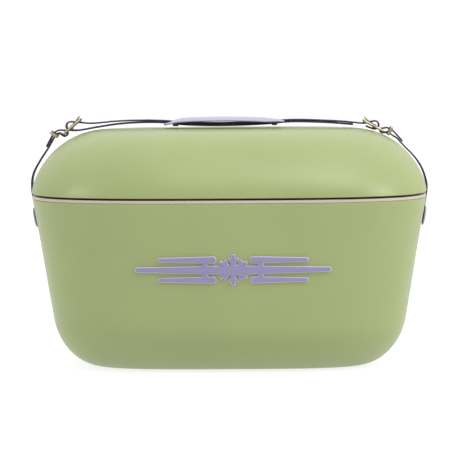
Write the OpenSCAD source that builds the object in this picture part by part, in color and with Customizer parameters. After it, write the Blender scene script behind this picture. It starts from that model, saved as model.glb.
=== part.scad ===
// Insulated carrying cooler: double-walled tub with a tapered rounded-rectangular plan,
// lift-off domed lid with a plug rim, leather strap buckled over the lid at both ends.
// Millimetres, +Z up, the front faces -Y, origin on the floor at the centre of the base.

/* [Overall] */
// Overall width at the seam
width = 440; // [400:1:480]
// Overall depth at the seam
depth = 310; // [280:1:340]
// Height of the green tub shell
rim = 189; // [160:0.5:220]
// Height of the lid shell above its own lower edge
lid_h = 69.4; // [55:0.1:80]
// Squareness of the plan outline (2 is an ellipse)
squareness = 3.3; // [2.4:0.1:5]

/* [Walls] */
// Tub shell wall
shell_t = 2.5; // [2:0.1:4]
// Lid shell wall
lid_t = 3; // [2:0.1:4]
// Foam between shell and liner
foam_t = 11.5; // [8:0.5:20]
// Liner wall
liner_t = 2; // [1.5:0.1:3]

/* [Bottom corner] */
// Height at which the bottom rounding starts
round_h = 72; // [40:1:90]
// Half width where the rounding starts
round_a = 199.5; // [180:0.5:205]
// Half width of the flat base
base_a = 152; // [120:1:170]
// Half depth where the rounding starts
round_b = 135; // [110:0.5:145]
// Half depth of the flat base
base_b = 72; // [50:1:110]

/* [Strap] */
// Strap width
strap_w = 18; // [14:0.5:24]
// Strap thickness
strap_t = 1.8; // [1.2:0.1:2.4]
// Grip pad width
grip_w = 37; // [28:1:44]
// Grip pad thickness
grip_t = 2.2; // [1.6:0.1:4]

/* [Buckle] */
// Length of the buckle frame between its end bars
frame_l = 23.6; // [20:0.1:28]
// Distance of the centre bar from the outer end bar
mid_l = 10.2; // [8:0.1:14]
// Radius of the frame bars
wire_r = 1.4; // [1:0.1:2]

/* [Badge] */
// Width of the front ornament
badge_w = 210; // [150:1:230]
// Height of the ornament's centre above the floor
badge_z = 117; // [90:0.5:130]
// Sideways offset of the ornament
badge_x = 5; // [-10:0.5:10]

/* [Hidden] */
n_pts = 64;
ha = width / 2;
hb = depth / 2;
top_a = ha - 0.4;
top_b = hb - 0.4;
seam = rim + 5.6;
lid_top = seam + lid_h;
anchor_z = rim - 24;
slope = atan2(top_a - round_a, rim - round_h);
wall_a = round_a + (top_a - round_a) * (anchor_z - round_h) / (rim - round_h);
green = [0.60, 0.66, 0.43];
cream = [0.80, 0.76, 0.68];
lavender = [0.68, 0.66, 0.76];
dark = [0.17, 0.14, 0.22];
brass = [0.72, 0.62, 0.38];
foam_c = [0.93, 0.91, 0.84];
steel = [0.6, 0.6, 0.62];
// leaning of both buckles and the places of their outer end bars
ang_l = 40.4;
ang_r = 28;
bar_l = [-184.7, rim + 70];
bar_r = [172, rim + 71.3];
keep_l = [-196.6, rim + 69.1];
keep_r = [180.6, rim + 70.9];

// ---- outlines and lofts ----
function sgn(v) = v < 0 ? -1 : 1;
function plan(a, b, n) = [for (i = [0 : n_pts - 1]) let (t = i * 360 / n_pts)
  [a * sgn(cos(t)) * pow(abs(cos(t)), 2 / n), b * sgn(sin(t)) * pow(abs(sin(t)), 2 / n)]];

// rings: [half width, half depth, height, squareness]
module loft(rings) {
  m = len(rings);
  pts = [for (r = rings) for (p = plan(r[0], r[1], r[3])) [p[0], p[1], r[2]]];
  sides = [for (k = [0 : m - 2]) for (i = [0 : n_pts - 1]) let (
      j = (i + 1) % n_pts, a = k * n_pts + i, b = k * n_pts + j, c = (k + 1) * n_pts + j, d = (k + 1) * n_pts + i)
      each [[a, c, b], [a, d, c]]];
  caps = [[for (i = [0 : n_pts - 1]) i], [for (i = [n_pts - 1 : -1 : 0]) (m - 1) * n_pts + i]];
  polyhedron(points = pts, faces = concat(sides, caps), convexity = 10);
}

// tub wall surface set in by t from the outside; zt is the height it reaches
function tub_prof(t, zt) = concat(
  [for (f = [90, 78, 64, 50, 36, 20]) let (k = sin(f), g = (1 - sqrt(1 - 0.97 * k * k)) / (1 - sqrt(0.03)))
    [round_a - (round_a - base_a) * g - t, round_b - (round_b - base_b) * g - t, t + round_h * (1 - k) * (1 - t / rim), squareness]],
  [for (s = [0, 0.5, 1]) [round_a + (top_a - round_a) * s - t, round_b + (top_b - round_b) * s - t,
    (t + round_h * (1 - t / rim)) * (1 - s) + zt * s, squareness]]);

// lid dome surface set in by t; the lower end is at the seam
function bez(p, s) = pow(1 - s, 3) * p[0] + 3 * pow(1 - s, 2) * s * p[1] + 3 * (1 - s) * s * s * p[2] + s * s * s * p[3];
function lid_prof(t, s0) = concat(
  [for (s = [s0, 0.1, 0.2, 0.32, 0.44, 0.56, 0.68, 0.8, 0.9, 1]) let (
      x = bez([ha, ha, ha - 23.8, ha - 88.9], s), z = bez([0, 17.1, lid_h + 1.2, lid_h - 1.1], s), e = 1.04 * (ha - x))
    [x - t, hb - e - t, seam + z * (lid_h - t) / lid_h, squareness - 0.5 * s]],
  [[ha - 150 - t, hb - 134 - t / 2, seam + (lid_h - 0.2) * (lid_h - t) / lid_h, 2.7],
   [ha - 190 - t, 9, seam + lid_h - t, 2.6]]);
function rev(l) = [for (i = [len(l) - 1 : -1 : 0]) l[i]];
function from(l, k) = [for (i = [k : len(l) - 1]) l[i]];

// local frame of a strap anchor: z runs out through the side wall, square to it, from the wall's outer face
module at_anchor() translate([wall_a, 0, anchor_z]) rotate([0, 90 + slope, 0]) children();

module body_shell() color(green) difference() {
  loft(concat(
    [[base_a - 34, base_b - 30, 0, squareness], [base_a - 34, base_b - 30, 1, squareness],
     [base_a - 29, base_b - 25, 1, squareness], [base_a - 29, base_b - 25, 0, squareness]],
    tub_prof(0, rim), rev(tub_prof(shell_t, rim))));
  for (s = [0, 1]) mirror([s, 0, 0]) at_anchor() translate([0, 0, -8]) cylinder(r = 2.3, h = 16, $fn = 48);
}

module body_insulation() color(foam_c) difference() {
  loft(concat(tub_prof(shell_t + 0.3, rim - 0.1), rev(tub_prof(shell_t + foam_t, rim - 0.1))));
  for (s = [0, 1]) mirror([s, 0, 0]) at_anchor() translate([0, 0, -6.2]) cylinder(r = 9, h = 16, $fn = 64);
}

module body_liner() color(cream) {
  o = shell_t + foam_t + 0.3;
  i = o + liner_t;
  loft(concat(tub_prof(o, rim + 0.2),
      [[top_a - 0.6, top_b - 0.6, rim + 0.2, squareness], [top_a - 0.2, top_b - 0.2, rim + 0.7, squareness],
       [top_a - 0.2, top_b - 0.2, rim + 2.8, squareness], [top_a - 0.8, top_b - 0.8, rim + 3.4, squareness]],
      rev(tub_prof(i, rim + 3.4))));
}

// ---- front ornament: a six-armed frost star between tapered streamline bars ----
module ray(l, w0, w1, g) {
  polygon([[0, -w0 / 2 - g], [l, -w1 / 2 - g], [l, w1 / 2 + g], [0, w0 / 2 + g]]);
  translate([l, 0]) circle(r = w1 / 2 + g, $fn = 32);
}
module ornament(g) {
  for (a = [30 : 60 : 330]) rotate(a) {
    ray(15, 4.6, 3.4, g);
    for (s = [-1, 1]) translate([8.6, 0]) rotate(52 * s) ray(5.2, 2.8, 2.2, g);
  }
  circle(r = 5.8 + g, $fn = 48);
  for (s = [0, 1]) mirror([s, 0]) {
    translate([3, 0]) ray(badge_w / 2 - 5, 8.4, 4.4, g);
    translate([22, 11]) ray(badge_w / 2 - 48, 6.4, 3.4, g);
    translate([22, -11]) ray(badge_w / 2 - 48, 6.4, 3.4, g);
    translate([22, 11]) circle(r = 3.2 + g, $fn = 32);
    translate([22, -11]) circle(r = 3.2 + g, $fn = 32);
    translate([30, -11]) rotate(90) ray(22, 4.6, 4.6, g);
  }
}
function wall_ring(z, e) = let (s = (z - round_h) / (rim - round_h))
  [round_a + (top_a - round_a) * s + e, round_b + (top_b - round_b) * s + e, z, squareness];
module wall_skin(e0, e1) difference() {
  loft([wall_ring(badge_z - 26, e1), wall_ring(badge_z + 26, e1)]);
  translate([0, 0, -0.5]) loft([wall_ring(badge_z - 26, e0 + 0.055), wall_ring(badge_z + 27, e0 + 0.1)]);
}
module badge_layer(g, e0, e1) intersection() {
  translate([badge_x, -110, badge_z]) rotate([90, 0, 0]) linear_extrude(height = 60) ornament(g);
  wall_skin(e0, e1);
}
module badge_base() color([0.78, 0.76, 0.84]) badge_layer(0.7, 0.03, 1.8);
module badge_face() color([0.54, 0.51, 0.65]) badge_layer(0, 1.86, 3);

// ---- strap anchors ----
module anchor_button() color(lavender) at_anchor() difference() {
  rotate_extrude($fn = 96) polygon([[0, 2.65], [10.6, 2.65], [11.2, 3.1], [11.2, 3.8], [10.4, 4.5], [8, 4.95], [4, 5.2], [0, 5.25]]);
  translate([0, 0, 1.8]) cylinder(r = 2.25, h = 2.4, $fn = 48);
}
module stud() color(steel) at_anchor() rotate_extrude($fn = 48)
  polygon([[0, -5.7], [3.4, -5.7], [4.2, -5.1], [4.2, -4.2], [2.2, -4.2], [2.2, 4.1], [0, 4.1]]);
module washer() color(steel) at_anchor() translate([0, 0, -4.15]) difference() {
  cylinder(r = 7.5, h = 1.5, $fn = 64);
  translate([0, 0, -1]) cylinder(r = 2.3, h = 4, $fn = 48);
}
module anchor_button_right() anchor_button();
module anchor_button_left() mirror([1, 0, 0]) anchor_button();
module stud_right() stud();
module stud_left() mirror([1, 0, 0]) stud();
module washer_right() washer();
module washer_left() mirror([1, 0, 0]) washer();

// ---- lid ----
module lid_shell() color(green) loft(concat(rev(lid_prof(lid_t, 0)), lid_prof(0, 0)));
module lid_insulation() color(foam_c)
  loft(concat(rev([for (r = lid_prof(lid_t + foam_t, 0.05)) [r[0], r[1], max(r[2], seam + 2.4), r[3]]]),
    [for (r = lid_prof(lid_t + 0.3, 0.05)) [r[0], r[1], max(r[2], seam + 2.4), r[3]]]));
module lid_liner() color(cream) {
  o = lid_t + foam_t + 0.3;
  i = o + liner_t;
  pa = ha - 18.8;
  pb = hb - 18.8;
  loft(concat(
    rev(from(lid_prof(i, 0), 1)),
    [[pa - 2, pb - 2, seam + 1.4, squareness], [pa - 2.6, pb - 2.6, seam - 13, squareness], [pa - 0.6, pb - 0.6, seam - 13, squareness],
     [pa, pb, seam - 1, squareness], [pa, pb, seam + 0.1, squareness],
     [ha - lid_t - 0.3, hb - lid_t - 0.3, seam + 0.1, squareness], [ha - lid_t - 0.8, hb - lid_t - 0.8, seam + 2.1, squareness],
     [ha - o - 0.3, hb - o - 0.3, seam + 2.1, squareness]],
    from(lid_prof(o, 0), 1)));
}
module lid_gasket() color([0.22, 0.19, 0.16]) translate([0, 0, seam - 1.85]) linear_extrude(height = 1.9) difference() {
  polygon(plan(ha - 5.5, hb - 5.5, squareness));
  polygon(plan(ha - 9.5, hb - 9.5, squareness));
}

// ---- strap paths in the XZ plane ----
function up(p) = [for (q = p) [q[0], q[1] - 189 + rim]];
function cr(a, b, c, d, t) = 0.5 * (2 * b + (c - a) * t + (2 * a - 5 * b + 4 * c - d) * t * t + (3 * b - a - 3 * c + d) * t * t * t);
function spline(p, k) = [for (i = [0 : len(p) - 2]) for (j = [0 : k - 1])
    cr(p[max(i - 1, 0)], p[i], p[i + 1], p[min(i + 2, len(p) - 1)], j / k), p[len(p) - 1]];
function arc(c, r, a0, a1, k) = [for (i = [0 : k]) let (a = a0 + (a1 - a0) * i / k) [c[0] + r * cos(a), c[1] + r * sin(a)]];
function unit(v) = v / norm(v);
function side(p, i, d) = let (t = unit(unit(p[min(i + 1, len(p) - 1)] - p[max(i, 0) == len(p) - 1 ? i - 1 : i]) + unit(p[i == 0 ? 1 : i] - p[max(i - 1, 0)])))
  [p[i][0] - t[1] * d, p[i][1] + t[0] * d];
module strip(p, w, t) rotate([90, 0, 0]) translate([0, 0, -w / 2]) linear_extrude(height = w)
  polygon(concat([for (i = [0 : len(p) - 1]) side(p, i, t / 2)], [for (i = [len(p) - 1 : -1 : 0]) side(p, i, -t / 2)]));

// lower straps: from the stud, up past the rim, over the lid shoulder, folded round the outer end bar
low_l = concat(
  spline(up([[-215.1, 154.6], [-216.9, 165], [-218.6, 175], [-220.5, 186], [-221.7, 194], [-222.1, 201], [-221.6, 208], [-219, 217.2],
    [-211.6, 230.2], [-203.4, 242.6], [-198.9, 250.6], [-195.9, 255.5], [-193.7, 258.4], [-190.6, 259.2], [-187.6, 257.3]]), 3),
  arc(bar_l, 3.4, -92, 100, 11),
  spline(up([[-189.4, 263], [-193.2, 261.9], [-197, 258.9], [-199.6, 254.7], [-201.9, 250.4], [-203.8, 246.6], [-205.1, 244]]), 3));
low_r = concat(
  spline(up([[215.1, 154.6], [216.9, 165], [218.6, 175], [220.5, 186], [221.6, 194], [221.6, 200], [220.5, 205.8], [217.3, 215.7],
    [211.6, 226], [204, 235.2], [199.1, 240], [193.4, 246.1], [188, 251.9], [184.5, 253.8], [181, 256.6], [178.4, 258.2], [175.5, 258.1]]), 3),
  arc(bar_r, 2.65, -90, -285, 11),
  spline(up([[176.2, 263.6], [180.9, 262.2], [185.6, 258.2], [190.4, 252.7], [194.4, 248.1]]), 3));
module lower_strap(p, s) color(dark) difference() {
  intersection() {
    strip(p, strap_w, strap_t);
    union() {
      translate([-240, -20, anchor_z]) cube([480, 40, 140]);
      translate([-240, 0, anchor_z]) rotate([0, 90, 0]) cylinder(r = strap_w / 2, h = 480, $fn = 96);
    }
  }
  mirror([s, 0, 0]) at_anchor() translate([0, 0, -3]) cylinder(r = 2.7, h = 9, $fn = 48);
}
module lower_strap_left() lower_strap(low_l, 1);
module lower_strap_right() lower_strap(low_r, 0);

// upper strap: fixed fold at the right buckle, over the lid, round the left centre bar, tail running back underneath
loop_l = [-178.1, rim + 78.3];
loop_r = [163.4, rim + 77.6];
top_run = spline(up([[-178.1, 272.1], [-166.7, 271.2], [-157, 270.3], [-147, 270.6], [-130, 272.2], [-112, 273.1], [-94, 273.3], [-80, 273],
  [-67, 272.3], [-55, 270.8], [-41, 270.1], [-22, 269.6], [0, 269.6], [22, 270.1], [38, 270.7], [50, 271.6], [63, 272.8], [76, 273.1], [91, 272.8],
  [111, 271.9], [128, 270.9], [140, 269.6], [151.2, 268.6], [157.6, 270], [163.4, 271.2]]), 3);
tail_run = spline(up([[-178.1, 262.5], [-171.5, 262.2], [-163, 263.2], [-153, 265], [-141, 266.9], [-129, 268.7], [-113, 270.2], [-96, 270.9],
  [-80, 270.8], [-67, 269.9], [-55, 268.5], [-41, 267.7], [-22, 267.2], [0, 267.2], [22, 267.7], [38, 268.4], [50, 269.3], [63, 270.5], [76, 270.8],
  [91, 270.5], [111, 269.6], [126, 268.5], [139, 267.3]]), 3);
up_path = concat(
  spline(up([[153.6, 265.3], [158.2, 263.4], [162.2, 262.1]]), 3),
  arc(loop_r, 4.6, -84, 84, 11),
  rev(top_run),
  arc(loop_l, 4.8, 96, 264, 11),
  tail_run);
module upper_strap() color(dark) difference() {
  strip(up_path, strap_w, strap_t);
  translate([-185, -2.3, rim + 72]) cube([10.5, 4.6, 16]);
  translate([-175, -2.3, rim + 76.5]) cube([7.5, 4.6, 10]);
  translate([160, -2.3, rim + 72]) cube([10, 4.6, 16]);
  translate([150.5, -2.3, rim + 78]) cube([10, 4.6, 10]);
}

// ---- grip pad with notched ends, held to the strap by two loops ----
grip_path = spline(up([[-73.4, 268], [-67, 270.1], [-60, 272.7], [-52, 274.6], [-39, 275.4], [-19, 275.7], [4, 275.7], [24, 275.3], [40, 274.5], [51, 273.2], [62.6, 271.2]]), 3);
function ease(v) = let (c = min(1, max(0, v))) c * c * (3 - 2 * c);
// the pad is arched across its width: its long edges hang lower than its middle, except at the ends
function droop(x, y) = 3.3 * ease((x + 74) / 26) * ease((62.6 - x) / 24) * pow(abs(2 * y / grip_w), 3);
module grip_pad(p) {
  ys = [for (i = [0 : 12]) grip_w * (i / 12 - 0.5)];
  m = len(ys);
  k = 2 * m;
  pts = [for (q = p) each concat(
    [for (y = ys) [q[0], y, q[1] + grip_t / 2 - droop(q[0], y)]],
    [for (i = [m - 1 : -1 : 0]) [q[0], ys[i], q[1] - grip_t / 2 - droop(q[0], ys[i])]])];
  sides = [for (s = [0 : len(p) - 2]) for (i = [0 : k - 1]) let (j = (i + 1) % k) each [[s * k + i, s * k + j, (s + 1) * k + j], [s * k + i, (s + 1) * k + j, (s + 1) * k + i]]];
  e = (len(p) - 1) * k;
  caps = [for (i = [0 : m - 2]) each [[i + 1, i, k - 1 - i], [i + 1, k - 1 - i, k - 2 - i], [e + i, e + i + 1, e + k - 2 - i], [e + i, e + k - 2 - i, e + k - 1 - i]]];
  polyhedron(points = pts, faces = concat(sides, caps), convexity = 10);
}
module rounded(x0, x1, w, r, h) {
  translate([x0 + r, -w / 2, 0]) cube([x1 - x0 - 2 * r, w, h]);
  translate([x0, -w / 2 + r, 0]) cube([x1 - x0, w - 2 * r, h]);
  for (x = [x0 + r, x1 - r]) for (y = [-w / 2 + r, w / 2 - r]) translate([x, y, 0]) cylinder(r = r, h = h, $fn = 48);
}
module grip() color(lavender) difference() {
  intersection() {
    grip_pad(grip_path);
    translate([0, 0, rim + 60]) rounded(-73, 62.2, grip_w - 0.2, 8, 40);
  }
  translate([-90, -strap_w / 2 - 1, rim + 60]) cube([37, strap_w + 2, 50]);
  translate([42, -strap_w / 2 - 1, rim + 60]) cube([30, strap_w + 2, 50]);
}
module grip_loop(x, zt, zb) difference() {
  translate([x - 3, -strap_w / 2 - 2.2, zb]) cube([6, strap_w + 4.4, zt - zb]);
  translate([x - 5, -strap_w / 2 - 0.6, zb + 1]) cube([10, strap_w + 1.2, zt - zb]);
}
module grip_loops() color(dark) {
  grip_loop(-60, rim + 81.1, rim + 77.6);
  grip_loop(51, rim + 82.3, rim + 78.1);
}

// ---- buckles: local frame u along the buckle from its outer end bar, w out of the lid ----
module at_buckle(c, a, s) translate([c[0], 0, c[1]]) rotate([0, s > 0 ? -180 + a : -a, 0]) scale([1, 1, 1]) children();
module bar(u0, w0, u1, w1, r) {
  l = norm([u1 - u0, w1 - w0]);
  translate([u0, 0, w0]) rotate([0, 90 - atan2(w1 - w0, u1 - u0), 0]) cylinder(r = r, h = l, $fn = 40);
}
module frame_local() {
  y = strap_w / 2 + 2.7;
  for (u = [0, frame_l]) translate([u, y, 0]) rotate([90, 0, 0]) cylinder(r = wire_r, h = 2 * y, $fn = 40);
  translate([mid_l, y, 0]) rotate([90, 0, 0]) cylinder(r = 1.2, h = 2 * y, $fn = 40);
  for (s = [-1, 1]) translate([0, s * y, 0]) {
    bar(0, 0, frame_l, 0, wire_r);
    for (u = [0, frame_l]) translate([u, 0, 0]) sphere(r = wire_r, $fn = 40);
  }
}
// f turns the local w axis so that it points out of the lid on either side
module prong_local(f) {
  difference() {
    translate([mid_l, 1.3, 0]) rotate([90, 0, 0]) cylinder(r = 2.5, h = 2.6, $fn = 40);
    translate([mid_l, 2, 0]) rotate([90, 0, 0]) cylinder(r = 1.5, h = 4, $fn = 40);
  }
  translate([mid_l + 1.9, 0, 0.9 * f]) rotate([0, 90 - 12.6 * f, 0]) rotate_extrude($fn = 40)
    polygon([[0, 0], [1.1, 0], [1.2, 6], [1.1, 11.5], [0.8, 13.2], [0, 13.8]]);
}
module buckle_frame_left() color(brass) at_buckle(bar_l, ang_l, -1) frame_local();
module buckle_frame_right() color(brass) at_buckle(bar_r, ang_r, 1) frame_local();
module prong_left() color(brass) at_buckle(bar_l, ang_l, -1) prong_local(1);
module prong_right() color(brass) at_buckle(bar_r, ang_r, 1) prong_local(-1);

// keepers: flat metal loops round both layers of the lower straps
module slab(w, h, r, t) {
  for (y = [-w / 2 + r, w / 2 - r]) for (z = [-h / 2 + r, h / 2 - r]) translate([-t / 2, y, z]) rotate([0, 90, 0]) cylinder(r = r, h = t, $fn = 40);
  translate([-t / 2, -w / 2 + r, -h / 2]) cube([t, w - 2 * r, h]);
  translate([-t / 2, -w / 2, -h / 2 + r]) cube([t, w, h - 2 * r]);
}
module keeper(c, a) color(brass) translate([c[0], 0, c[1]]) rotate([0, -a, 0]) difference() {
  slab(strap_w + 4, 10.6, 1.8, 3.3);
  slab(strap_w + 1.4, 8.4, 0.8, 5);
}
module keeper_left() keeper(keep_l, 57);
module keeper_right() keeper(keep_r, 150);

body_shell();
body_insulation();
body_liner();
badge_base();
badge_face();
anchor_button_left();
anchor_button_right();
stud_left();
stud_right();
washer_left();
washer_right();
lid_shell();
lid_insulation();
lid_liner();
lid_gasket();
lower_strap_left();
lower_strap_right();
buckle_frame_left();
buckle_frame_right();
prong_left();
prong_right();
keeper_left();
keeper_right();
upper_strap();
grip();
grip_loops();
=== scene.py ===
import math

import bpy
import numpy as np
from mathutils import Matrix, Vector


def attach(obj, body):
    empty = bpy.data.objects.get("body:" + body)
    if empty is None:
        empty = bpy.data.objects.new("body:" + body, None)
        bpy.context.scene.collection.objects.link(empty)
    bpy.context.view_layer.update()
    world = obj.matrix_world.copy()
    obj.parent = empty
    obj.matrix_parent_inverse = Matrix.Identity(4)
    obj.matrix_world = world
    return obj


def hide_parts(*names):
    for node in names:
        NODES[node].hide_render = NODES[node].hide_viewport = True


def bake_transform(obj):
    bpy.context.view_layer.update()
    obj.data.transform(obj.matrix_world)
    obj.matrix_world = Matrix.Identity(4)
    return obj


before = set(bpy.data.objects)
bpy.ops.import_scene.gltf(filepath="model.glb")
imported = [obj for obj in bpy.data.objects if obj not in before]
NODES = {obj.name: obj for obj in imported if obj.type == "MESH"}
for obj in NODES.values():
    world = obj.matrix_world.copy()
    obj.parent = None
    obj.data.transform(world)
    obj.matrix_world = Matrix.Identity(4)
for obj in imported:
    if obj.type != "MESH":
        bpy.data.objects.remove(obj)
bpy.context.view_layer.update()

scene = bpy.context.scene
MM = 0.001
rng = np.random.default_rng(7)

# ---------------------------------------------------------------- dimensions, as in the CAD, in millimetres
RIM, SEAM, LID_H = 189.0, 194.6, 69.4
HA, HB, TOP_A, TOP_B, SQ = 220.0, 155.0, 219.6, 154.6, 3.3
RH, RA, BA, RB, BB = 72.0, 199.5, 152.0, 135.0, 72.0
STRAP_W, STRAP_T = 18.0, 1.8
ANCHOR_Z = 165.0
SLOPE = math.degrees(math.atan2(TOP_A - RA, RIM - RH))
WALL_A = RA + (TOP_A - RA) * (ANCHOR_Z - RH) / (RIM - RH)


# ---------------------------------------------------------------- node helpers
class Net:
    """A material's node tree with short ways to add nodes and links."""

    def __init__(self, name):
        self.mat = bpy.data.materials.new(name)
        self.mat.use_nodes = True
        self.t = self.mat.node_tree
        self.t.nodes.clear()
        self.out = self.t.nodes.new("ShaderNodeOutputMaterial")
        self.bsdf = self.t.nodes.new("ShaderNodeBsdfPrincipled")
        self.t.links.new(self.bsdf.outputs[0], self.out.inputs["Surface"])
        self.coord = self.t.nodes.new("ShaderNodeTexCoord").outputs["Object"]
        self.x = 0

    def put(self, node, key, value):
        if isinstance(value, bpy.types.NodeSocket):
            self.t.links.new(value, node.inputs[key])
        else:
            node.inputs[key].default_value = value

    def add(self, kind, props=None, **inputs):
        n = self.t.nodes.new(kind)
        self.x += 1
        n.location = (-220 * (self.x % 7) - 260, -190 * (self.x // 7))
        for k, v in (props or {}).items():
            setattr(n, k, v)
        for k, v in inputs.items():
            self.put(n, k.replace("_", " ") if k.replace("_", " ") in n.inputs else k, v)
        return n

    def noise(self, scale, detail=3.0, rough=0.5, vector=None):
        return self.add("ShaderNodeTexNoise", Vector=vector or self.coord, Scale=scale, Detail=detail, Roughness=rough).outputs["Fac"]

    def voronoi(self, scale, feature="F1", vector=None):
        return self.add("ShaderNodeTexVoronoi", {"feature": feature}, Vector=vector or self.coord, Scale=scale).outputs["Distance"]

    def span(self, value, a, b, c, d):
        n = self.add("ShaderNodeMapRange")
        for k, v in zip(("Value", "From Min", "From Max", "To Min", "To Max"), (value, a, b, c, d)):
            self.put(n, k, v)
        return n.outputs["Result"]

    def math(self, op, a, b=0.0):
        n = self.add("ShaderNodeMath", {"operation": op})
        for i, v in enumerate((a, b)):
            if isinstance(v, bpy.types.NodeSocket):
                self.t.links.new(v, n.inputs[i])
            else:
                n.inputs[i].default_value = v
        return n.outputs[0]

    def mix(self, fac, a, b, blend="MIX"):
        n = self.add("ShaderNodeMix", {"data_type": "RGBA", "blend_type": blend})
        for i, v in ((0, fac), (6, a), (7, b)):
            if isinstance(v, bpy.types.NodeSocket):
                self.t.links.new(v, n.inputs[i])
            else:
                n.inputs[i].default_value = v if i == 0 else (*v, 1.0)
        return n.outputs[2]

    def bump(self, height, distance, strength=1.0, normal=None):
        n = self.add("ShaderNodeBump", Height=height, Distance=distance, Strength=strength)
        if normal is not None:
            self.t.links.new(normal, n.inputs["Normal"])
        return n.outputs["Normal"]

    def set(self, **inputs):
        for k, v in inputs.items():
            key = k.replace("_", " ")
            if isinstance(v, tuple) and len(v) == 3:
                v = (*v, 1.0)
            self.put(self.bsdf, key, v)
        return self.mat


def tint(c, k):
    return tuple(min(1.0, v * k) for v in c)


def plastic(name, colour, rough=0.44, grain=0.00006, specular=0.5, vary=0.03, flow=0.03):
    """Moulded plastic: fine spark-eroded grain, faint cloudiness of the pigment, rub marks in the gloss."""
    n = Net(name)
    cloud = n.noise(9.0, 4.0, 0.55)
    fleck = n.noise(900.0, 2.0, 0.6)
    base = n.mix(n.span(cloud, 0.35, 0.65, 0.0, 1.0), tint(colour, 1 - vary), tint(colour, 1 + vary))
    base = n.mix(n.span(fleck, 0.45, 0.75, 0.0, flow), base, tint(colour, 1.25))
    rub = n.noise(60.0, 5.0, 0.65)
    r = n.math("ADD", n.span(cloud, 0.3, 0.7, rough - 0.03, rough + 0.03), n.span(rub, 0.4, 0.7, -0.02, 0.03))
    fine = n.bump(n.noise(1500.0, 3.0, 0.7), grain, 0.55)
    wave = n.bump(n.noise(14.0, 1.0, 0.4), 0.0004, 0.10, fine)
    return n.set(Base_Color=base, Roughness=r, Normal=wave, IOR=1.47, Specular_IOR_Level=specular)


def leather(name, colour, dark, rough=0.5, scale=1.0, crease_shade=0.5, edge=None):
    """Pressed-grain leather: pebbles of about a millimetre with creases, painted shade darkening the creases, paler
    where it is rubbed.
    """
    n = Net(name)
    warp = n.noise(240.0 * scale, 3.0, 0.6)
    cells = n.voronoi(950.0 * scale, "F1")
    crease = n.voronoi(950.0 * scale, "DISTANCE_TO_EDGE")
    big = n.noise(26.0, 4.0, 0.6)
    # painted shade: the colour is pulled towards dark in the creases between the pebbles
    base = n.mix(n.span(crease, 0.0, 0.14, crease_shade, 0.0), colour, dark)
    base = n.mix(n.span(big, 0.35, 0.7, 0.0, 0.35), base, tint(colour, 1.12))
    base = n.mix(n.span(warp, 0.3, 0.75, 0.12, 0.0), base, dark)
    if edge:
        near = n.add("ShaderNodeAttribute", {"attribute_name": "edge_mm"}).outputs["Fac"]
        base = n.mix(n.span(near, 0.0, edge, 0.55, 0.0), base, tint(colour, 1.3))
    h = n.math("ADD", n.span(crease, 0.0, 0.2, 0.0, 1.0), n.math("MULTIPLY", warp, 0.6))
    nrm = n.bump(h, 0.00009, 0.6)
    nrm = n.bump(big, 0.0006, 0.15, nrm)
    r = n.math("ADD", n.span(cells, 0.0, 0.7, rough - 0.06, rough + 0.08), n.span(big, 0.3, 0.7, -0.04, 0.05))
    return n.set(Base_Color=base, Roughness=r, Normal=nrm, IOR=1.45, Sheen_Weight=0.08, Sheen_Roughness=0.5)


def strap_face(name, colour, dark):
    """The strap's lavender face: leather grain, a creased line along both edges and a row of punched holes near the
    left buckle, drawn as dents filled with painted shade.
    """
    mat = leather(name, colour, dark, 0.5, 1.0, 0.45)
    t = mat.node_tree
    n = Net.__new__(Net)
    n.mat, n.t, n.x = mat, t, 60
    n.bsdf = next(k for k in t.nodes if k.type == "BSDF_PRINCIPLED")
    n.coord = next(k for k in t.nodes if k.type == "TEX_COORD").outputs["Object"]
    sep = n.add("ShaderNodeSeparateXYZ", Vector=n.coord)
    x, y = sep.outputs[0], sep.outputs[1]
    ay = n.math("ABSOLUTE", y)
    # pressed line 1.6 mm inside each edge
    line = n.math("ABSOLUTE", n.math("SUBTRACT", ay, 0.0072))
    groove = n.span(line, 0.0, 0.00035, 1.0, 0.0)
    # punched holes every 20 mm between x = -152 and -72
    k = n.math("SUBTRACT", n.math("MODULO", n.math("ADD", x, 1.0 + 0.152 + 0.010), 0.020), 0.010)
    r = n.math("SQRT", n.math("ADD", n.math("MULTIPLY", k, k), n.math("MULTIPLY", y, y)))
    inside = n.math("MULTIPLY", n.math("GREATER_THAN", x, -0.162), n.math("LESS_THAN", x, -0.078))
    hole = n.math("MULTIPLY", n.span(r, 0.0015, 0.0018, 1.0, 0.0), inside)
    rim = n.math("MULTIPLY", n.span(n.math("ABSOLUTE", n.math("SUBTRACT", r, 0.0021)), 0.0, 0.0005, 1.0, 0.0), inside)
    old = n.bsdf.inputs["Base Color"].links[0].from_socket
    base = n.mix(n.math("MULTIPLY", groove, 0.45), old, dark)
    base = n.mix(n.math("MULTIPLY", rim, 0.5), base, tint(dark, 1.5))
    # painted shade: each hole is filled near black instead of being cut through
    base = n.mix(hole, base, (0.012, 0.008, 0.016))
    nrm = n.bsdf.inputs["Normal"].links[0].from_socket
    depth = n.math("SUBTRACT", 1.0, n.math("MAXIMUM", hole, n.math("MULTIPLY", groove, 0.25)))
    nrm = n.bump(depth, 0.0010, 0.8, nrm)
    return n.set(Base_Color=base, Normal=nrm)


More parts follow.
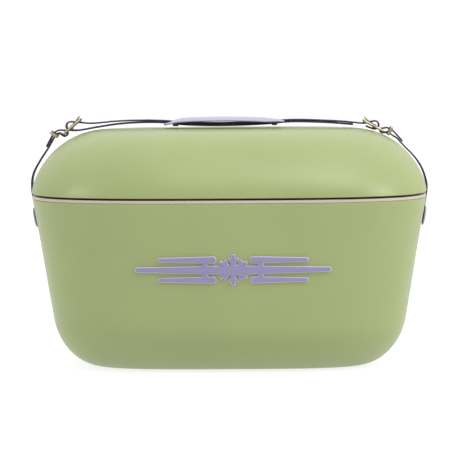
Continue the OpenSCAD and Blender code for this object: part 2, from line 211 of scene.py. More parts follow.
def metal(name, colour, dull, rough=0.3, patina=0.55, streak=True):
    """Antiqued plating: dark patina lying in clouds, brushed lines, and small darker spots."""
    n = Net(name)
    cloud = n.noise(190.0, 5.0, 0.65)
    spot = n.noise(820.0, 3.0, 0.6)
    base = n.mix(n.span(cloud, 0.4, 0.72, 0.0, patina), colour, dull)
    base = n.mix(n.span(spot, 0.6, 0.78, 0.0, 0.4), base, tint(dull, 0.7))
    r = n.math("ADD", n.span(cloud, 0.35, 0.7, rough, rough + 0.2), n.span(spot, 0.4, 0.7, 0.0, 0.08))
    m = n.add("ShaderNodeMapping", Vector=n.coord)
    m.inputs["Scale"].default_value = (1.0, 14.0, 14.0) if streak else (6.0, 6.0, 6.0)
    nrm = n.bump(n.noise(260.0, 3.0, 0.6, m.outputs[0]), 0.00004, 0.5)
    return n.set(Base_Color=base, Metallic=1.0, Roughness=r, Normal=nrm)


def foam_mat(name):
    n = Net(name)
    cell = n.voronoi(420.0, "DISTANCE_TO_EDGE")
    tone = n.noise(22.0, 3.0)
    base = n.mix(n.span(tone, 0.3, 0.7, 0.0, 1.0), (0.80, 0.74, 0.58), (0.88, 0.83, 0.70))
    base = n.mix(n.span(cell, 0.0, 0.1, 0.4, 0.0), base, (0.62, 0.55, 0.40))
    return n.set(Base_Color=base, Roughness=0.92, Normal=n.bump(cell, 0.0004, 0.7))


def rubber(name):
    n = Net(name)
    dust = n.noise(130.0, 5.0, 0.7)
    base = n.mix(n.span(dust, 0.45, 0.75, 0.0, 0.5), (0.055, 0.040, 0.028), (0.11, 0.085, 0.062))
    return n.set(Base_Color=base, Roughness=n.span(dust, 0.3, 0.7, 0.55, 0.78), Normal=n.bump(n.noise(700.0, 3.0), 0.00008, 0.5))


def studio(name, colour):
    n = Net(name)
    base = n.mix(n.span(n.noise(0.8, 2.0), 0.3, 0.7, 0.0, 1.0), tint(colour, 0.99), colour)
    return n.set(Base_Color=base, Roughness=0.95, Specular_IOR_Level=0.0, Emission_Color=(1.0, 1.0, 1.0), Emission_Strength=0.80)


def edge_paint(name, colour):
    """Burnished edge paint on the cut edge of the strap."""
    n = Net(name)
    lay = n.noise(160.0, 4.0, 0.6)
    base = n.mix(n.span(lay, 0.35, 0.7, 0.0, 1.0), tint(colour, 0.75), tint(colour, 1.35))
    return n.set(Base_Color=base, Roughness=n.span(lay, 0.3, 0.7, 0.34, 0.5), Normal=n.bump(lay, 0.0002, 0.35), IOR=1.46)


GREEN = (0.255, 0.300, 0.120)
CREAM = (0.42, 0.37, 0.30)
LAVENDER = (0.42, 0.39, 0.53)
PURPLE = (0.028, 0.018, 0.043)
green = plastic("green_plastic", GREEN, 0.40)
cream = plastic("cream_plastic", CREAM, 0.40, vary=0.02)
face_m = plastic("badge_face_lavender", (0.215, 0.190, 0.335), 0.36, 0.00003, vary=0.02)
rim_m = plastic("badge_edge_lavender", (0.46, 0.43, 0.58), 0.32, 0.00003, vary=0.02)
button_m = plastic("button_lavender", (0.30, 0.28, 0.39), 0.38, 0.00004, vary=0.04)
strap_m = strap_face("strap_lavender", LAVENDER, (0.20, 0.17, 0.29))
edge_m = edge_paint("strap_edge_paint", PURPLE)
loop_m = leather("loop_leather", (0.060, 0.043, 0.085), (0.02, 0.014, 0.03), 0.48)
grip_m = leather("grip_leather", (0.385, 0.365, 0.50), (0.24, 0.22, 0.34), 0.52, 0.8, 0.35, edge=0.7)
grip_edge = edge_paint("grip_edge_paint", (0.30, 0.28, 0.41))
thread_m = leather("waxed_thread", (0.50, 0.47, 0.62), (0.30, 0.28, 0.40), 0.6, 2.0)
thread_dark = leather("dark_thread", (0.08, 0.06, 0.11), (0.03, 0.02, 0.04), 0.6, 2.0)
brass = metal("antique_brass", (0.56, 0.49, 0.33), (0.17, 0.145, 0.085), 0.26, 0.75)
steel = metal("zinc_steel", (0.58, 0.58, 0.60), (0.34, 0.34, 0.35), 0.32, 0.5, False)
foam = foam_mat("foam")
gasket_m = rubber("gasket_rubber")


# ---------------------------------------------------------------- mesh helpers
def make(name, verts, faces, mats, index=None, angle=32.0, attrs=None):
    mesh = bpy.data.meshes.new(name)
    mesh.from_pydata(np.asarray(verts).tolist(), [], faces)
    for m in mats:
        mesh.materials.append(m)
    if index is not None:
        mesh.polygons.foreach_set("material_index", np.asarray(index, np.int32))
    for key, values in (attrs or {}).items():
        mesh.attributes.new(key, "FLOAT", "POINT").data.foreach_set("value", np.asarray(values, np.float32))
    mesh.validate()
    mesh.update()
    mesh.shade_smooth()
    mesh.set_sharp_from_angle(angle=math.radians(angle))
    ob = bpy.data.objects.new(name, mesh)
    scene.collection.objects.link(ob)
    return ob


def outline(a, b, n, q):
    """A superellipse as 4q points at equal steps of length, starting at +X."""
    t = np.linspace(0, math.pi / 2, 1400)
    x = a * np.abs(np.cos(t)) ** (2 / n)
    y = b * np.abs(np.sin(t)) ** (2 / n)
    x[-1], y[0] = 0.0, 0.0
    s = np.r_[0, np.cumsum(np.hypot(np.diff(x), np.diff(y)))]
    u = np.linspace(0, s[-1], q + 1)
    x, y = np.interp(u, s, x), np.interp(u, s, y)
    first = np.c_[x, y][:q]
    second = np.c_[-x[::-1], y[::-1]][:q]
    return np.r_[first, second, -first, -second]


def loft(name, rows, mats, q=90, closed=False, angle=32.0):
    """Rows of [half width, half depth, height, squareness] joined into one skin; both ends are closed with a fan unless it is a ring."""
    n = 4 * q
    rings = [np.c_[outline(r[0], r[1], r[3], q), np.full(n, r[2])] for r in rows]
    verts = np.concatenate(rings) * MM
    m = len(rows)
    i = np.arange(n)
    j = (i + 1) % n
    faces = []
    for k in range(m if closed else m - 1):
        l = (k + 1) % m
        faces.append(np.c_[k * n + i, k * n + j, l * n + j, l * n + i])
    faces = np.concatenate(faces).tolist()
    if not closed:
        c0, c1 = len(verts), len(verts) + 1
        verts = np.r_[verts, [[0, 0, rows[0][2] * MM], [0, 0, rows[-1][2] * MM]]]
        faces += np.c_[np.full(n, c0), j, i].tolist()
        faces += np.c_[np.full(n, c1), (m - 1) * n + i, (m - 1) * n + j].tolist()
    return make(name, verts, faces, mats, angle=angle)


def smooth(rows, step):
    """A cubic through the rows, about one row per step of length."""
    p = np.array(rows, float)
    h = np.maximum(np.sqrt((np.diff(p[:, :3], axis=0) ** 2).sum(1)), 1e-6)
    d = np.diff(p, axis=0) / h[:, None]
    m = np.empty_like(p)
    m[0], m[-1] = d[0], d[-1]
    m[1:-1] = (d[:-1] * h[1:, None] + d[1:] * h[:-1, None]) / (h[1:] + h[:-1])[:, None]
    out = []
    for i in range(len(p) - 1):
        k = max(1, int(round(h[i] / step)))
        for t in np.arange(k) / k:
            out.append((2 * t**3 - 3 * t**2 + 1) * p[i] + (t**3 - 2 * t**2 + t) * h[i] * m[i]
                       + (3 * t**2 - 2 * t**3) * p[i + 1] + (t**3 - t**2) * h[i] * m[i + 1])
    out.append(p[-1])
    return [list(r) for r in out]


def fan_rows(row, parts=(0.68, 0.36, 0.1)):
    return [[row[0] * k, row[1] * k, row[2], row[3]] for k in parts]


def tub_rows(t, top, step=6.0):
    rows = []
    for f in (90, 84, 78, 71, 64, 57, 50, 43, 36, 28):
        k = math.sin(math.radians(f))
        g = (1 - math.sqrt(1 - 0.97 * k * k)) / (1 - math.sqrt(0.03))
        rows.append([RA - (RA - BA) * g - t, RB - (RB - BB) * g - t, RH * (1 - k), SQ])
    for z, a, b in ((47.4, 196.0, 130.4), (60, 198.3, 132.9), (72, 200.3, 135.1), (90, 203.2, 138.3), (130.5, 209.6, 144.9), (RIM, 219.6, 154.6)):
        rows.append([a - t, b - t, z, SQ])
    for r in rows:
        r[2] = t + r[2] * (top - t) / RIM
    return smooth(rows, step)


def bez(p, s):
    return (1 - s) ** 3 * p[0] + 3 * (1 - s) ** 2 * s * p[1] + 3 * (1 - s) * s * s * p[2] + s**3 * p[3]


def lid_rows(t, s0, count):
    k = (LID_H - t) / LID_H
    rows = []
    for s in np.linspace(s0, 1, count):
        x, z = bez([HA, HA, HA - 23.8, HA - 88.9], s), bez([0, 17.1, LID_H + 1.2, LID_H - 1.1], s)
        rows.append([x - t, HB - 1.04 * (HA - x) - t, SEAM + z * k, SQ - 0.5 * s])
    top = smooth([rows[-1], [HA - 150 - t, HB - 134 - t / 2, SEAM + (LID_H - 0.2) * k, 2.7], [HA - 190 - t, 9, SEAM + LID_H - t, 2.6]], 9.0)
    return rows + top[1:] + fan_rows(top[-1], (0.7, 0.4, 0.12))


# ---------------------------------------------------------------- tub
def base_rows():
    return [[35, 12, 0, SQ], [75, 26, 0, SQ], [BA - 34.4, BB - 30.4, 0, SQ], [BA - 34, BB - 30, 0.3, SQ], [BA - 34, BB - 30, 1, SQ],
            [BA - 29, BB - 25, 1, SQ], [BA - 29, BB - 25, 0.3, SQ], [BA - 28.6, BB - 24.6, 0, SQ], [BA - 12, BB - 9, 0, SQ]]


outer = tub_rows(0, RIM, 5.0)[:-1]
inner = tub_rows(2.5, RIM, 12.0)[:-1]
rows = base_rows() + outer + [[TOP_A - 0.1, TOP_B - 0.1, RIM - 0.6, SQ], [TOP_A - 0.22, TOP_B - 0.22, RIM - 0.2, SQ], [TOP_A - 0.6, TOP_B - 0.6, RIM, SQ],
    [TOP_A - 2.1, TOP_B - 2.1, RIM, SQ], [TOP_A - 2.5, TOP_B - 2.5, RIM - 0.5, SQ]] + inner[::-1] + fan_rows(inner[0])
tub = loft("tub_shell", rows, [green])
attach(tub, "chest"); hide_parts("body_shell")

outer = tub_rows(14.3, RIM + 0.2, 12.0)
inner = tub_rows(16.3, RIM + 3.4, 6.0)[:-1]
rows = fan_rows(outer[0])[::-1] + outer + [[TOP_A - 0.6, TOP_B - 0.6, RIM + 0.2, SQ], [TOP_A - 0.3, TOP_B - 0.3, RIM + 0.35, SQ],
    [TOP_A - 0.2, TOP_B - 0.2, RIM + 0.7, SQ], [TOP_A - 0.2, TOP_B - 0.2, RIM + 2.7, SQ], [TOP_A - 0.35, TOP_B - 0.35, RIM + 3.15, SQ],
    [TOP_A - 0.8, TOP_B - 0.8, RIM + 3.4, SQ], [TOP_A - 15.1, TOP_B - 15.1, RIM + 3.4, SQ], [TOP_A - 15.9, TOP_B - 15.9, RIM + 3.1, SQ],
    [TOP_A - 16.3, TOP_B - 16.3, RIM + 2.4, SQ]] + inner[::-1] + fan_rows(inner[0])
liner = loft("tub_liner", rows, [cream])
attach(liner, "chest"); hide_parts("body_liner")

# ---------------------------------------------------------------- lid
outer = lid_rows(0, 0.03, 50)
inner = lid_rows(3, 0.035, 22)
rows = inner[::-1] + [[HA - 3, HB - 3, SEAM + 0.5, SQ], [HA - 2.7, HB - 2.7, SEAM, SQ], [HA - 0.8, HB - 0.8, SEAM, SQ], [HA - 0.25, HB - 0.25, SEAM + 0.15, SQ],
    [HA, HB, SEAM + 0.6, SQ]] + outer
lid = loft("lid_dome", rows, [green])
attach(lid, "lid"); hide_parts("lid_shell")

PA, PB = HA - 18.8, HB - 18.8
outer = lid_rows(14.8, 0.1, 16)
inner = lid_rows(16.8, 0.1, 30)
rows = inner[::-1] + [[PA - 2, PB - 2, SEAM + 1.4, SQ], [PA - 2.3, PB - 2.3, SEAM - 6, SQ], [PA - 2.6, PB - 2.6, SEAM - 12.4, SQ], [PA - 2.2, PB - 2.2, SEAM - 13, SQ],
    [PA - 1.0, PB - 1.0, SEAM - 13, SQ], [PA - 0.6, PB - 0.6, SEAM - 12.4, SQ], [PA, PB, SEAM - 1, SQ], [PA, PB, SEAM + 0.1, SQ],
    [HA - 3.3, HB - 3.3, SEAM + 0.1, SQ], [HA - 3.3, HB - 3.3, SEAM + 2.1, SQ], [HA - 15.1, HB - 15.1, SEAM + 2.1, SQ]] + outer
lid_liner = loft("lid_inner_dome", rows, [cream])
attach(lid_liner, "lid"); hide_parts("lid_liner")

z0 = SEAM - 1.85
ring = [[5.5, 0.45], [5.5, 1.4], [6.0, 1.9], [9.0, 1.9], [9.5, 1.4], [9.5, 0.45], [9.0, 0], [8.3, 0.25], [7.5, 0.05], [6.7, 0.25], [6.0, 0]]
gasket = loft("lid_seal", [[HA - d, HB - d, z0 + h, SQ] for d, h in ring], [gasket_m], closed=True, angle=50)
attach(gasket, "lid"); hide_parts("lid_gasket")


# ---------------------------------------------------------------- plates cut from a distance field
def strokes(items):
    """Inside distance is negative. Each item is a tapered round-ended stroke: x0, z0, x1, z1, r0, r1."""
    def f(x, z):
        out = np.full(x.shape, 1e9)
        for x0, z0, x1, z1, r0, r1 in items:
            dx, dz = x1 - x0, z1 - z0
            l2 = dx * dx + dz * dz
            h = np.clip(((x - x0) * dx + (z - z0) * dz) / l2, 0, 1) if l2 > 0 else np.zeros(x.shape)
            out = np.minimum(out, np.hypot(x - x0 - h * dx, z - z0 - h * dz) - (r0 + (r1 - r0) * h))
        return out
    return f


def plate(name, sdf, lo, hi, step, top, bottom, place, mats, levels=(), angle=28.0):
    """A solid plate whose outline is where sdf is zero. top and bottom give height from the distance inside the outline, place maps to space."""
    x, y = np.meshgrid(np.arange(lo[0], hi[0] + step, step), np.arange(lo[1], hi[1] + step, step), indexing="ij")

    def snap(level, zone):
        e = 0.02
        d = sdf(x, y) + level
        gx, gy = (sdf(x + e, y) - sdf(x - e, y)) / (2 * e), (sdf(x, y + e) - sdf(x, y - e)) / (2 * e)
        g = np.maximum(gx**2 + gy**2, 0.3)
        near = (np.abs(d) < zone * step) & (gx**2 + gy**2 > 0.5)
        x[near] -= (d * gx / g)[near]
        y[near] -= (d * gy / g)[near]

    for level in levels:
        snap(level, 0.45)
    snap(0, 0.56)
    snap(0, 0.3)
    d = sdf(x, y)
    inside = d < 0.05
    a, b, c, e = inside[:-1, :-1], inside[1:, :-1], inside[1:, 1:], inside[:-1, 1:]
    ids = np.arange(x.size).reshape(x.shape)
    ia, ib, ic, ie = ids[:-1, :-1], ids[1:, :-1], ids[1:, 1:], ids[:-1, 1:]
    cx, cy = (x[:-1, :-1] + x[1:, 1:]) / 2, (y[:-1, :-1] + y[1:, 1:]) / 2
    ok = sdf(cx, cy) < 0.25 * step
    quads = np.stack([ia, ib, ic, ie], -1)[a & b & c & e & ok]
    tris = np.concatenate([np.stack(t, -1)[m & ok] for m, t in (
        (a & b & c & ~e, (ia, ib, ic)), (b & c & e & ~a, (ib, ic, ie)), (c & e & a & ~b, (ic, ie, ia)), (e & a & b & ~c, (ie, ia, ib)))])
    used = np.unique(np.r_[quads.ravel(), tris.ravel()])
    new = np.full(x.size, -1)
    new[used] = np.arange(len(used))
    quads, tris = new[quads], new[tris]
    px, py, pd = x.ravel()[used], y.ravel()[used], np.maximum(-d.ravel()[used], 0)
    count = len(used)
    verts = np.concatenate([place(px, py, top(pd)), place(px, py, bottom(pd))]) * MM
    edges = np.concatenate([quads[:, [0, 1]], quads[:, [1, 2]], quads[:, [2, 3]], quads[:, [3, 0]], tris[:, [0, 1]], tris[:, [1, 2]], tris[:, [2, 0]]])
    free = edges[~np.isin(edges[:, 0] * count + edges[:, 1], edges[:, 1] * count + edges[:, 0])]
    sides = np.c_[free[:, 1], free[:, 0], free[:, 0] + count, free[:, 1] + count]
    faces = quads.tolist() + tris.tolist() + (quads[:, ::-1] + count).tolist() + (tris[:, ::-1] + count).tolist() + sides.tolist()
    index = [0] * (2 * (len(quads) + len(tris))) + [len(mats) - 1] * len(sides)
    return make(name, verts, faces, mats, index, angle, {"edge_mm": np.r_[pd, pd]})


# ---------------------------------------------------------------- badge
BADGE_X, BADGE_Z, BADGE_W = 5.0, 117.0, 210.0


def ornament(g):
    items = [(0, 0, 0, 0, 5.8 + g, 5.8 + g)]
    for a in range(30, 390, 60):
        c, s = math.cos(math.radians(a)), math.sin(math.radians(a))
        items.append((0, 0, 15 * c, 15 * s, 2.3 + g, 1.7 + g))
        for w in (-1, 1):
            t = math.radians(a + 52 * w)
            items.append((8.6 * c, 8.6 * s, 8.6 * c + 5.2 * math.cos(t), 8.6 * s + 5.2 * math.sin(t), 1.4 + g, 1.1 + g))
    for s in (-1, 1):
        items.append((3 * s, 0, 103 * s, 0, 4.2 + g, 2.2 + g))
        for z in (11, -11):
            items.append((22 * s, z, 79 * s, z, 3.2 + g, 1.7 + g))
        items.append((30 * s, -11, 30 * s, 11, 2.3 + g, 2.3 + g))
    return strokes(items)


def on_wall(px, pz, e):
    x, z = BADGE_X + px, BADGE_Z + pz
    s = (z - RH) / (RIM - RH)
    a, b = RA + (TOP_A - RA) * s + e, RB + (TOP_B - RB) * s + e
    y = -b * np.maximum(1 - (np.abs(x) / a) ** SQ, 0) ** (1 / SQ)
    return np.c_[x, y, z]


edge_plate = plate("badge_edge_plate", ornament(0.7), (-109, -19), (109, 19), 0.4, lambda d: 1.8 - np.maximum(0.55 - d, 0) * 0.9, lambda d: 0 * d - 0.25,
                   on_wall, [rim_m], levels=(0.55,))
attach(edge_plate, "chest"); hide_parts("badge_base")
face_plate = plate("badge_face_plate", ornament(0), (-109, -19), (109, 19), 0.4, lambda d: 3.0 - np.maximum(0.5 - d, 0) * 1.3, lambda d: 0 * d + 1.75,
                   on_wall, [face_m, rim_m], levels=(0.5,))
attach(face_plate, "chest"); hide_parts("badge_face")


# ---------------------------------------------------------------- strap
def spline(points, k=9):
    p = np.array(points, float)
    out = []
    for i in range(len(p) - 1):
        a, b, c, d = p[max(i - 1, 0)], p[i], p[i + 1], p[min(i + 2, len(p) - 1)]
        for t in np.arange(k) / k:
            out.append(0.5 * (2 * b + (c - a) * t + (2 * a - 5 * b + 4 * c - d) * t * t + (3 * b - a - 3 * c + d) * t**3))
    out.append(p[-1])
    return np.array(out)


def arc(c, r, a0, a1, k=28):
    a = np.radians(np.linspace(a0, a1, k + 1))
    return np.c_[c[0] + r * np.cos(a), c[1] + r * np.sin(a)]


def even(path, step):
    s = np.r_[0, np.cumsum(np.hypot(*np.diff(path, axis=0).T))]
    keep = np.r_[True, np.diff(s) > 1e-6]
    s, path = s[keep], path[keep]
    u = np.linspace(0, s[-1], int(round(s[-1] / step)) + 1)
    p = np.c_[np.interp(u, s, path[:, 0]), np.interp(u, s, path[:, 1])]
    for _ in range(2):
        p[1:-1] = 0.25 * p[:-2] + 0.5 * p[1:-1] + 0.25 * p[2:]
    return p


def normals(p):
    t = np.gradient(p, axis=0)
    t /= np.hypot(*t.T)[:, None]
    return np.c_[-t[:, 1], t[:, 0]], t


def strap(name, path, width, thick, mats, round_start=0.0, r=0.5):
    p = even(path, 0.9)
    n, _ = normals(p)
    s = np.r_[0, np.cumsum(np.hypot(*np.diff(p, axis=0).T))]
    half = np.full(len(p), width / 2)
    if round_start:
        u = np.clip(s / round_start, 0, 1)
        half = np.maximum(width / 2 * np.sqrt(np.maximum(1 - (1 - u) ** 2, 0)), 0.8)
    section = []
    for sy, sd in ((1, 1), (-1, 1), (-1, -1), (1, -1)):
        steps = (0, 22.5, 45, 67.5, 90) if sy * sd > 0 else (90, 67.5, 45, 22.5, 0)
        for a in steps:
            c, k = math.cos(math.radians(a)), math.sin(math.radians(a))
            section.append((sy * (width / 2 - r + r * c), sd * (thick / 2 - r + r * k)))
    m = len(section)
    verts = []
    for (x, z), (nx, nz), h in zip(p, n, half):
        for y, d in section:
            verts.append((x + nx * d, y * 2 * h / width, z + nz * d))
    faces, index = [], []
    for k in range(len(p) - 1):
        for i in range(m):
            j = (i + 1) % m
            faces.append((k * m + i, k * m + j, (k + 1) * m + j, (k + 1) * m + i))
            index.append(0 if abs(section[i][0] - section[j][0]) > 2 * r else 1)
    faces.append(tuple(range(m - 1, -1, -1)))
    faces.append(tuple((len(p) - 1) * m + i for i in range(m)))
    index += [1, 1]
    verts = np.array(verts) * MM
    # turn the skin right way out if the section runs the other way
    a, b, c = verts[faces[0][0]], verts[faces[0][1]], verts[faces[0][2]]
    centre = np.array([p[0][0], 0, p[0][1]]) * MM
    if np.dot(np.cross(b - a, c - b), (a + b) / 2 - centre) < 0:
        faces = [f[::-1] for f in faces]
    return make(name, verts, faces, mats, index, 40)


def block(lo, hi):
    """A cutting solid between two corners, in millimetres."""
    (x0, y0, z0), (x1, y1, z1) = lo, hi
    v = [(x, y, z) for x in (x0, x1) for y in (y0, y1) for z in (z0, z1)]
    f = [(0, 1, 3, 2), (4, 6, 7, 5), (0, 4, 5, 1), (2, 3, 7, 6), (0, 2, 6, 4), (1, 5, 7, 3)]
    return np.array(v, float), f


def rod(side, r, z0, z1, k=40):
    """A cutting rod along a strap anchor's axis."""
    t = math.radians(90 + SLOPE)
    ax = np.array([math.sin(t), 0, math.cos(t)])
    ux, uy = np.array([math.cos(t), 0, -math.sin(t)]), np.array([0, 1.0, 0])
    o = np.array([WALL_A, 0, ANCHOR_Z])
    v = []
    for z in (z0, z1):
        for i in range(k):
            a = 2 * math.pi * i / k
            q = o + ax * z + r * (math.cos(a) * ux + math.sin(a) * uy)
            v.append(q * [side, 1, 1])
    f = [(i, (i + 1) % k, k + (i + 1) % k, k + i) for i in range(k)] + [tuple(range(k - 1, -1, -1)), tuple(range(k, 2 * k))]
    return np.array(v), (f if side > 0 else [g[::-1] for g in f])


def cut(ob, solids, mats, index):
    for k, (v, f) in enumerate(solids):
        tool = make(f"tool_{k}", v * MM, f, mats, [index] * len(f))
        mod = ob.modifiers.new("cut", "BOOLEAN")
        mod.operation, mod.solver, mod.object = "DIFFERENCE", "EXACT", tool
        bpy.context.view_layer.update()
        done = bpy.data.meshes.new_from_object(ob.evaluated_get(bpy.context.evaluated_depsgraph_get()))
        ob.modifiers.clear()
        old = ob.data
        if len(done.vertices) > 0.6 * len(old.vertices):
            ob.data = done
            done.name = ob.name
        bpy.data.objects.remove(tool)
    ob.data.shade_smooth()
    ob.data.set_sharp_from_angle(angle=math.radians(40))


BAR_L, BAR_R, LOOP_L, LOOP_R = (-184.7, 259.0), (172.0, 260.3), (-178.1, 267.3), (163.4, 266.6)
low_l = np.r_[
    spline([[-215.1, 154.6], [-216.9, 165], [-218.6, 175], [-220.5, 186], [-221.7, 194], [-222.1, 201], [-221.6, 208], [-219, 217.2],
            [-211.6, 230.2], [-203.4, 242.6], [-198.9, 250.6], [-195.9, 255.5], [-193.7, 258.4], [-190.6, 259.2], [-187.6, 257.3]]),
    arc(BAR_L, 3.4, -92, 100),
    spline([[-189.4, 263], [-193.2, 261.9], [-197, 258.9], [-199.6, 254.7], [-201.9, 250.4], [-203.8, 246.6], [-205.1, 244]])]
low_r = np.r_[
    spline([[215.1, 154.6], [216.9, 165], [218.6, 175], [220.5, 186], [221.6, 194], [221.6, 200], [220.5, 205.8], [217.3, 215.7],
            [211.6, 226], [204, 235.2], [199.1, 240], [193.4, 246.1], [188, 251.9], [184.5, 253.8], [181, 256.6], [178.4, 258.2], [175.5, 258.1]]),
    arc(BAR_R, 2.65, -90, -285),
    spline([[176.2, 263.6], [180.9, 262.2], [185.6, 258.2], [190.4, 252.7], [194.4, 248.1]])]
top_run = spline([[-178.1, 272.1], [-166.7, 271.2], [-157, 270.3], [-147, 270.6], [-130, 272.2], [-112, 273.1], [-94, 273.3], [-80, 273],
    [-67, 272.3], [-55, 270.8], [-41, 270.1], [-22, 269.6], [0, 269.6], [22, 270.1], [38, 270.7], [50, 271.6], [63, 272.8], [76, 273.1], [91, 272.8],
    [111, 271.9], [128, 270.9], [140, 269.6], [151.2, 268.6], [157.6, 270], [163.4, 271.2]])
tail_run = spline([[-178.1, 262.5], [-171.5, 262.2], [-163, 263.2], [-153, 265], [-141, 266.9], [-129, 268.7], [-113, 270.2], [-96, 270.9],
    [-80, 270.8], [-67, 269.9], [-55, 268.5], [-41, 267.7], [-22, 267.2], [0, 267.2], [22, 267.7], [38, 268.4], [50, 269.3], [63, 270.5], [76, 270.8],
    [91, 270.5], [111, 269.6], [126, 268.5], [139, 267.3]])
up_path = np.r_[spline([[153.6, 265.3], [158.2, 263.4], [162.2, 262.1]]), arc(LOOP_R, 4.6, -84, 84), top_run[::-1], arc(LOOP_L, 4.8, 96, 264), tail_run]

strap_mats = [strap_m, edge_m]
upper = strap("shoulder_strap", up_path, STRAP_W, STRAP_T, strap_mats)
cut(upper, [block((-185, -2.3, 261), (-174.5, 2.3, 277)), block((-175.2, -2.3, 265.5), (-167.5, 2.3, 275.5)),
            block((160, -2.3, 261), (170, 2.3, 277)), block((150.5, -2.3, 267), (160.5, 2.3, 277))], strap_mats, 1)
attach(upper, "strap_top"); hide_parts("upper_strap")

for name, path, side, node in (("side_strap_left", low_l, -1, "lower_strap_left"), ("side_strap_right", low_r, 1, "lower_strap_right")):
    start = int(np.argmin(np.abs(path[:40, 1] - 156.2)))
    ob = strap(name, path[start:], STRAP_W, STRAP_T, strap_mats, round_start=9.0)
    cut(ob, [rod(side, 2.7, -3, 6)], strap_mats, 1)
    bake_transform(ob)
    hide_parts(node)


# ---------------------------------------------------------------- stitches
def stitches(name, places, mat, length=2.3, radius=0.32):
    """Short waxed stitches. Each place is (centre, direction, up) in millimetres."""
    verts, faces = [], []
    ring = [(math.cos(a), math.sin(a)) for a in np.linspace(0, 2 * math.pi, 8, endpoint=False)]
    prof = [(-0.5, 0.15, -0.25), (-0.42, 0.7, -0.05), (-0.2, 1.0, 0.12), (0.2, 1.0, 0.12), (0.42, 0.7, -0.05), (0.5, 0.15, -0.25)]
    for c, t, up in places:
        c, t, up = np.array(c, float), np.array(t, float), np.array(up, float)
        t /= np.linalg.norm(t)
        w = np.cross(up, t)
        base = len(verts)
        for u, k, lift in prof:
            for cy, cz in ring:
                verts.append(c + t * u * length + (w * cy + up * cz) * radius * k + up * lift)
        for s in range(len(prof) - 1):
            for i in range(8):
                j = (i + 1) % 8
                faces.append((base + s * 8 + i, base + (s + 1) * 8 + i, base + (s + 1) * 8 + j, base + s * 8 + j))
        faces.append(tuple(base + i for i in range(8)))
        faces.append(tuple(base + (len(prof) - 1) * 8 + i for i in range(7, -1, -1)))
    return make(name, np.array(verts) * MM, faces, [mat], angle=60)


def along(path, dist, back=False):
    p = even(path, 0.5)
    if back:
        p = p[::-1]
    s = np.r_[0, np.cumsum(np.hypot(*np.diff(p, axis=0).T))]
    i = int(np.argmin(np.abs(s - dist)))
    t = p[i + 1] - p[i]
    t /= np.hypot(*t)
    return p[i], t


def cross_row(path, dist, outward, step=2.6, rows=(0, 2.6)):
    """A box of stitches across the strap's end, lying on the face that looks outward."""
    out = []
    for extra in rows:
        c, t = along(path, dist + extra, True)
        n = np.array([-t[1], t[0]])
        if np.dot(n, outward) < 0:
            n = -n
        up = np.array([n[0], 0, n[1]])
        for y in np.arange(-6.0, 6.1, step):
            out.append((np.array([c[0], y, c[1]]) + up * (STRAP_T / 2 + 0.12), (0, 1, 0), up))
    return out


ends = stitches("strap_end_stitches", cross_row(low_l, 2.4, (-0.8, 0.5)) + cross_row(low_r, 2.4, (0.7, 0.7)), thread_dark, 1.9, 0.3)
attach(ends, "strap_top")

# ---------------------------------------------------------------- grip
GRIP = spline([[-73.4, 268], [-67, 270.1], [-60, 272.7], [-52, 274.6], [-39, 275.4], [-19, 275.7], [4, 275.7], [24, 275.3], [40, 274.5], [51, 273.2], [62.6, 271.2]], 14)


def droop(x, y):
    e = lambda v: np.clip(v, 0, 1) ** 2 * (3 - 2 * np.clip(v, 0, 1))
    return 3.3 * e((x + 74) / 26) * e((62.6 - x) / 24) * np.abs(y / 18.5) ** 3


def grip_sdf(x, y):
    def box(cx, cy, hx, hy, r):
        qx, qy = np.abs(x - cx) - hx + r, np.abs(y - cy) - hy + r
        return np.hypot(np.maximum(qx, 0), np.maximum(qy, 0)) + np.minimum(np.maximum(qx, qy), 0) - r
    pad = box(-5.4, 0, 67.6, 18.4, 8)
    left, right = box(-78.0, 0, 25.0, 10.0, 4), box(67.0, 0, 25.0, 10.0, 4)
    return np.maximum(pad, np.maximum(-left, -right))


def on_grip(px, py, h):
    z = np.interp(px, GRIP[:, 0], GRIP[:, 1])
    dz = np.interp(px + 0.5, GRIP[:, 0], GRIP[:, 1]) - np.interp(px - 0.5, GRIP[:, 0], GRIP[:, 1])
    l = np.sqrt(1 + dz**2)
    z = z - droop(px, py)
    side = 3.3 * 3 * np.abs(py / 18.5) ** 2 / 18.5 * np.sign(py) * (droop(px, 18.5) / 3.3)
    l = np.sqrt(1 + dz**2 + side**2)
    return np.c_[px - dz / l * h, py + side / l * h, z + h / l]


def rounded(h, r):
    return lambda d: h - r + np.sqrt(np.maximum(r * r - np.maximum(r - d, 0) ** 2, 0)) - 0.16 * np.exp(-(((d - 3.0) / 0.5) ** 2))


grip = plate("grip_pad", grip_sdf, (-74, -19.2), (64, 19.2), 0.6, rounded(1.1, 0.7), lambda d: -rounded(1.1, 0.7)(d), on_grip, [grip_m, grip_edge], levels=(0.7,), angle=60)
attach(grip, "strap_top"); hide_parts("grip")

places = []
for sy in (-1, 1):
    for x in np.arange(-64, 54.1, 3.4):
        y = np.full(2, sy * 15.4)
        a, b = on_grip(np.array([x - 0.5, x + 0.5]), y, np.full(2, 0.98))
        a2, b2 = on_grip(np.array([x - 0.5, x + 0.5]), y, np.full(2, 1.98))
        t = b - a
        t /= np.linalg.norm(t)
        up = a2 - a
        up /= np.linalg.norm(up)
        places.append(((a + b) / 2, t, up))
seam = stitches("grip_stitches", places, thread_m, 2.4, 0.3)
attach(seam, "strap_top")

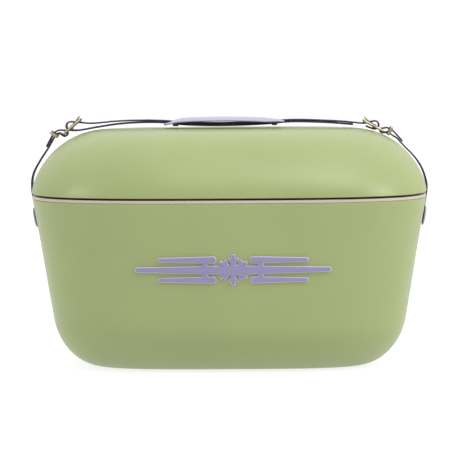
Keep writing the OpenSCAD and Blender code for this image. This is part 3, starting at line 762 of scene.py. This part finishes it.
# ---------------------------------------------------------------- CAD pieces that keep their shape
for names, mat in (
    (("anchor_button_left", "anchor_button_right"), button_m), (("stud_left", "stud_right", "washer_left", "washer_right"), steel),
    (("buckle_frame_left", "buckle_frame_right", "prong_left", "prong_right", "keeper_left", "keeper_right"), brass),
    (("grip_loops",), loop_m), (("body_insulation", "lid_insulation"), foam),
):
    for name in names:
        ob = NODES[name]
        if not ob.material_slots:
            ob.data.materials.append(mat)
        for s in ob.material_slots:
            s.material = mat

# ---------------------------------------------------------------- camera at the photograph's angle
AZ, EL, DIST, ROLL = math.radians(0.571), math.radians(4.771), 3.0374, math.radians(-0.351)
target = Vector((0, 0, 0.135))
back = Vector((math.sin(AZ) * math.cos(EL), -math.cos(AZ) * math.cos(EL), math.sin(EL)))
right = (-back).cross(Vector((0, 0, 1))).normalized()
up = right.cross(-back).normalized()
R = right * math.cos(ROLL) + up * math.sin(ROLL)
U = -right * math.sin(ROLL) + up * math.cos(ROLL)
cam_data = bpy.data.cameras.new("camera")
cam = bpy.data.objects.new("camera", cam_data)
scene.collection.objects.link(cam)
cam.matrix_world = Matrix(((R.x, U.x, back.x, 0), (R.y, U.y, back.y, 0), (R.z, U.z, back.z, 0), (0, 0, 0, 1)))
cam.location = target + back * DIST
cam_data.sensor_width = 36
cam_data.lens = 2692.9 / 460 * 36
cam_data.shift_x = (230 - 229.79) / 460
cam_data.shift_y = (242.18 - 230) / 460
cam_data.clip_start, cam_data.clip_end = 0.05, 60
cam_data.dof.use_dof = False
scene.camera = cam

# ---------------------------------------------------------------- studio: flat white floor and soft light
floor_m = studio("white_floor", (0.30, 0.30, 0.30))
k = 48
ys = np.r_[np.linspace(-7, 5, 25), 5 + 3 * np.sin(np.linspace(0.05, 1, 16) * math.pi / 2)]
verts, faces = [], []
for i, y in enumerate(ys):
    for x in (-9.0, -3.0, 3.0, 9.0):
        verts.append((x, y, -0.0004))
for i in range(len(ys) - 1):
    for j in range(3):
        a = i * 4 + j
        faces.append((a, a + 1, a + 5, a + 4))
floor = make("studio_floor", verts, faces, [floor_m])

world = bpy.data.worlds.new("studio_world")
scene.world = world
world.use_nodes = True
wt = world.node_tree
wt.nodes.clear()
wo = wt.nodes.new("ShaderNodeOutputWorld")
bg = wt.nodes.new("ShaderNodeBackground")
tc = wt.nodes.new("ShaderNodeTexCoord")
sp = wt.nodes.new("ShaderNodeSeparateXYZ")
mr = wt.nodes.new("ShaderNodeMapRange")
mr.interpolation_type = "SMOOTHSTEP"
wt.links.new(tc.outputs["Generated"], sp.inputs[0])
wt.links.new(sp.outputs[2], mr.inputs["Value"])
for key, v in (("From Min", 0.05), ("From Max", 0.95), ("To Min", 1.03), ("To Max", 1.5)):
    mr.inputs[key].default_value = v
fr = wt.nodes.new("ShaderNodeMapRange")
fr.interpolation_type = "SMOOTHSTEP"
wt.links.new(sp.outputs[1], fr.inputs["Value"])
for key, v in (("From Min", -0.75), ("From Max", 0.2), ("To Min", 0.36), ("To Max", 1.0)):
    fr.inputs[key].default_value = v
mu = wt.nodes.new("ShaderNodeMath")
mu.operation = "MULTIPLY"
wt.links.new(mr.outputs["Result"], mu.inputs[0])
wt.links.new(fr.outputs["Result"], mu.inputs[1])
wt.links.new(mu.outputs[0], bg.inputs["Strength"])
bg.inputs["Color"].default_value = (1.0, 1.0, 1.0, 1.0)
wt.links.new(bg.outputs[0], wo.inputs["Surface"])


def softbox(name, place, aim, size, power, colour=(1, 1, 1)):
    data = bpy.data.lights.new(name, "AREA")
    data.shape, data.size, data.size_y, data.energy, data.color = "RECTANGLE", size[0], size[1], power, colour
    ob = bpy.data.objects.new(name, data)
    scene.collection.objects.link(ob)
    ob.location = place
    ob.rotation_mode = "QUATERNION"
    ob.rotation_quaternion = (Vector(aim) - Vector(place)).to_track_quat("-Z", "Y")
    return ob


softbox("softbox_right", (1.75, -0.95, 1.05), (0.05, 0, 0.16), (0.5, 0.6), 15.0)
softbox("softbox_left", (-1.70, -1.05, 1.10), (-0.05, 0, 0.16), (0.45, 0.5), 10.0)
softbox("softbox_above", (0.7, -1.25, 2.0), (0, 0, 0.2), (1.6, 1.2), 27.0)

scene.view_settings.view_transform = "Standard"
